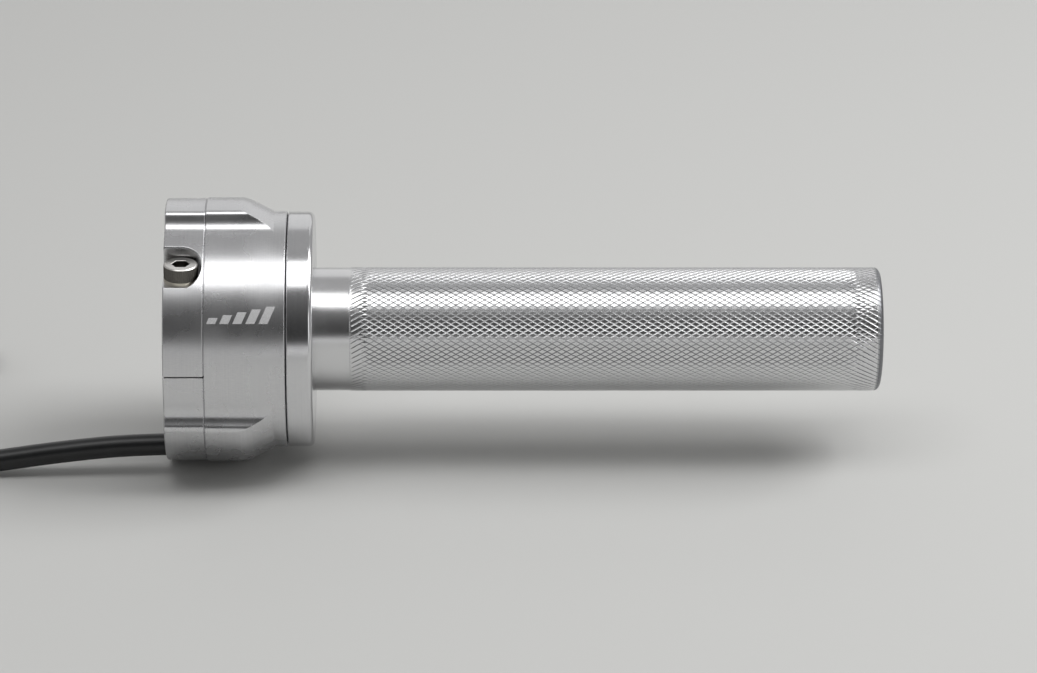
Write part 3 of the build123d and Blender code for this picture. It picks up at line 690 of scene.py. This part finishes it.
def buildScrew(bm, x, y, seat):
    # head first, from the seat up, with its grip ridges; then the socket; then the shank
    top = seat + clampScrew["headHeight"]
    made = bmesh.ops.create_circle(
        bm, cap_ends=True, segments=clampScrew["ridges"] * 2, radius=clampScrew["headRadius"] * mm
    )
    base = made["verts"][0].link_faces[0]
    bmesh.ops.translate(bm, verts=made["verts"], vec=(0, 0, seat * mm))
    cap = bmesh.ops.extrude_face_region(bm, geom=[base])["geom"]
    capFace = [part for part in cap if isinstance(part, bmesh.types.BMFace)][0]
    for vert in capFace.verts:
        vert.co.z = (top - clampScrew["chamfer"]) * mm
    for face in (base, capFace):
        for vert in face.verts:
            angle = math.atan2(vert.co.y, vert.co.x)
            ridge = round(angle / (math.pi / clampScrew["ridges"])) % 2
            scale = 1 - ridge * clampScrew["ridgeDepth"] / clampScrew["headRadius"]
            vert.co.x *= scale
            vert.co.y *= scale
    levels = (
        (clampScrew["headRadius"] - clampScrew["ridgeDepth"], top - clampScrew["chamfer"], False),
        (clampScrew["headRadius"] - clampScrew["ridgeDepth"] - clampScrew["chamfer"], top, False),
        (clampScrew["hexSize"] + 2 * clampScrew["hexChamfer"], top, True),
        (clampScrew["hexSize"], top - clampScrew["hexChamfer"], True),
        (clampScrew["hexSize"], top - clampScrew["hexDepth"], True),
        (clampScrew["hexSize"] * 0.4, top - clampScrew["hexDepth"] - 0.5, True),
    )
    for size, height, hexagonal in levels:
        bmesh.ops.inset_region(bm, faces=[capFace], thickness=0.02 * mm)
        for vert in capFace.verts:
            angle = math.atan2(vert.co.y, vert.co.x)
            radius = hexRadius(angle, size) if hexagonal else size
            vert.co = (radius * mm * math.cos(angle), radius * mm * math.sin(angle), height * mm)
    underHead = clampScrew["headRadius"] - clampScrew["shankRadius"]
    bmesh.ops.inset_region(bm, faces=[base], thickness=underHead * mm)
    for vert in base.verts:
        angle = math.atan2(vert.co.y, vert.co.x)
        vert.co.x = clampScrew["shankRadius"] * mm * math.cos(angle)
        vert.co.y = clampScrew["shankRadius"] * mm * math.sin(angle)
    shank = bmesh.ops.extrude_face_region(bm, geom=[base])["geom"]
    shankEnd = [part for part in shank if isinstance(part, bmesh.types.BMFace)][0]
    bmesh.ops.delete(bm, geom=[base], context="FACES_ONLY")
    for vert in shankEnd.verts:
        vert.co.z = (seat - clampScrew["length"]) * mm
    bmesh.ops.translate(bm, verts=bm.verts, vec=(x * mm, y * mm, 0))


def boltSteel(seat):
    # stainless socket screw: the top face carries the bright steel tone, and its side and socket are painted
    # shade, a darker copy of the same steel
    material, tree, shader = startMaterial("stainlessSocketScrew", {"Metallic": 1.0, "Roughness": 0.3})
    place = addNode(tree, "ShaderNodeTexCoord")
    split = addNode(tree, "ShaderNodeSeparateXYZ", {}, {0: place.outputs["Object"]})
    corner = seat + clampScrew["headHeight"] - clampScrew["chamfer"]
    # painted shade mask: 0 below the top's chamfer corner (side and socket, painted shade), 1 above it (the
    # top face)
    paintedShadeMask = addNode(
        tree, "ShaderNodeMapRange",
        {"From Min": (corner - 0.05) * mm, "From Max": (corner + 0.05) * mm, "To Min": 0.0, "To Max": 1.0},
        {"Value": split.outputs["Z"]},
    )
    grain = addNode(
        tree, "ShaderNodeTexNoise", {"Scale": 1 / (clampScrew["grainSize"] * mm), "Detail": 3.0},
        {"Vector": place.outputs["Object"]},
    )
    tones = []
    for low, high in (clampScrew["paintedShadeSideTones"], clampScrew["topTones"]):
        tones.append(addNode(
            tree, "ShaderNodeValToRGB", {"stops": ((0.3, hexColour(low)), (0.7, hexColour(high)))},
            {0: grain.outputs["Fac"]},
        ))
    side, top = tones
    # the side tone, painted shade, is mixed in below the top face
    blend = addNode(
        tree, "ShaderNodeMixRGB", {},
        {"Fac": paintedShadeMask.outputs["Result"], "Color1": side.outputs["Color"], "Color2": top.outputs["Color"]},
    )
    tree.links.new(blend.outputs["Color"], shader.inputs["Base Color"])
    bump = addNode(
        tree, "ShaderNodeBump", {"Strength": 0.15, "Distance": 0.00001}, {"Height": grain.outputs["Fac"]}
    )
    tree.links.new(bump.outputs["Normal"], shader.inputs["Normal"])
    return material


def buildClampScrews():
    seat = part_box("lock_washers")[1].z / mm
    whole = bmesh.new()
    for x, y in clampScrew["places"]:
        single = bmesh.new()
        buildScrew(single, x, y, seat)
        bmesh.ops.recalc_face_normals(single, faces=single.faces)
        scratch = bpy.data.meshes.new("scratchScrew")
        single.to_mesh(scratch)
        single.free()
        whole.from_mesh(scratch)
        bpy.data.meshes.remove(scratch)
    return finishPiece(whole, "clampScrews", boltSteel(seat), "housing", 22)


clampScrews = buildClampScrews()
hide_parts("clamp_screws")
print("clamp screws made")


# etched mark on the front panel

mark = {
    "middleX": 19.4,
    "middleAngle": 59.5,  # degrees round the bar from the top, towards the rider
    "bars": ((-7.6, 1.5), (-4.4, 2.2), (-1.2, 2.9), (2.0, 3.6), (5.2, 4.3)),  # left end and height, mm
    "barWidth": 2.2,
    "foot": -2.2,
    "lean": 0.45,  # mm sideways for each mm up
    "proud": 0.012,
    "sink": 0.05,
    "steps": 6,
}


def buildMark(material):
    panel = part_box("twist_flange")[1].z / mm + 0.1
    bm = bmesh.new()
    for left, height in mark["bars"]:
        grid = []
        for step in range(mark["steps"] + 1):
            up = mark["foot"] + height * step / mark["steps"]
            angle = mark["middleAngle"] - math.degrees(up / panel)
            row = []
            for across, radius in (
                (0, panel - mark["sink"]), (0, panel + mark["proud"]),
                (mark["barWidth"], panel + mark["proud"]), (mark["barWidth"], panel - mark["sink"]),
            ):
                x = mark["middleX"] + left + across + up * mark["lean"]
                row.append(bm.verts.new(roundBar(angle, radius * mm, x * mm)))
            grid.append(row)
        for lower, upper in zip(grid, grid[1:]):
            for side in range(4):
                after = (side + 1) % 4
                bm.faces.new((lower[side], lower[after], upper[after], upper[side]))
        bm.faces.new(grid[0])
        bm.faces.new(grid[-1])
    bmesh.ops.recalc_face_normals(bm, faces=bm.faces)
    return finishPiece(bm, "panelMark", material, "housing", 30)


def etchedMaterial():
    # laser-etched anodising: a pale matt skin with a powdery grain
    material, tree, shader = startMaterial("etchedAnodising", {"Metallic": 0.35})
    place = addNode(tree, "ShaderNodeTexCoord")
    grain = addNode(
        tree, "ShaderNodeTexNoise", {"Scale": 5000.0, "Detail": 3.0}, {"Vector": place.outputs["Object"]}
    )
    tone = addNode(
        tree, "ShaderNodeValToRGB", {"stops": ((0.3, hexColour("#c9c9ca")), (0.7, hexColour("#dededf")))},
        {0: grain.outputs["Fac"]},
    )
    tree.links.new(tone.outputs["Color"], shader.inputs["Base Color"])
    rough = addNode(
        tree, "ShaderNodeMapRange", {"From Min": 0.3, "From Max": 0.7, "To Min": 0.55, "To Max": 0.7},
        {"Value": grain.outputs["Fac"]},
    )
    tree.links.new(rough.outputs["Result"], shader.inputs["Roughness"])
    bump = addNode(
        tree, "ShaderNodeBump", {"Strength": 0.5, "Distance": 0.000008}, {"Height": grain.outputs["Fac"]}
    )
    tree.links.new(bump.outputs["Normal"], shader.inputs["Normal"])
    return material


buildMark(etchedMaterial())
print("mark etched")


# table and studio light

tableGap = 0.02  # mm under the housing's lowest point


def addTable():
    bm = bmesh.new()
    bmesh.ops.create_grid(bm, x_segments=2, y_segments=2, size=3.0)
    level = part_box("main_housing")[0].z - tableGap * mm
    bmesh.ops.translate(bm, verts=bm.verts, vec=(0, 0, level))
    mesh = bpy.data.meshes.new("table")
    bm.to_mesh(mesh)
    bm.free()
    table = bpy.data.objects.new("table", mesh)
    bpy.context.collection.objects.link(table)
    paper = startMaterial("palePaper", {"Roughness": 0.85, "Base Color": hexColour("#c6c6c4")})[0]
    mesh.materials.append(paper)


studio = {
    "overhead": {"place": (0.12, -0.16, 0.9), "size": (1.15, 0.42), "power": 3.7},
    "back": {"place": (0.09, 1.0, 0.42), "size": (1.0, 0.75), "power": 0.9},
    "front": {"place": (0.09, -1.2, 0.07), "size": (1.8, 0.19), "power": 0.75},
    "right": {"place": (1.0, 0.15, 0.95), "size": (0.8, 0.7), "power": 10.0},
    "rim": {"place": (0.98, -0.72, 0.34), "size": (0.35, 0.6), "power": 0.9},
}


def addLights():
    target = Vector((0.09, 0, 0))
    for name, setting in studio.items():
        light = bpy.data.lights.new(name, "AREA")
        light.shape = "RECTANGLE"
        light.size = setting["size"][0]
        light.size_y = setting["size"][1]
        light.energy = setting["power"]
        lamp = bpy.data.objects.new(name, light)
        bpy.context.collection.objects.link(lamp)
        lamp.location = setting["place"]
        lamp.rotation_euler = (target - Vector(setting["place"])).to_track_quat("-Z", "Y").to_euler()
    world = bpy.data.worlds.new("studio")
    bpy.context.scene.world = world
    world.use_nodes = True
    tree = world.node_tree
    sky = addNode(tree, "ShaderNodeTexCoord")
    split = addNode(tree, "ShaderNodeSeparateXYZ", {}, {0: sky.outputs["Generated"]})
    glow = addNode(
        tree, "ShaderNodeMapRange", {"From Min": -0.95, "From Max": 0.35, "To Min": 0.035, "To Max": 0.4},
        {"Value": split.outputs["Y"]},
    )
    tree.links.new(glow.outputs["Result"], tree.nodes["Background"].inputs["Strength"])
    tree.nodes["Background"].inputs["Color"].default_value = (1.0, 1.0, 1.0, 1.0)


addTable()
addLights()
bpy.context.scene.view_settings.view_transform = "Standard"
print("table and lights set")
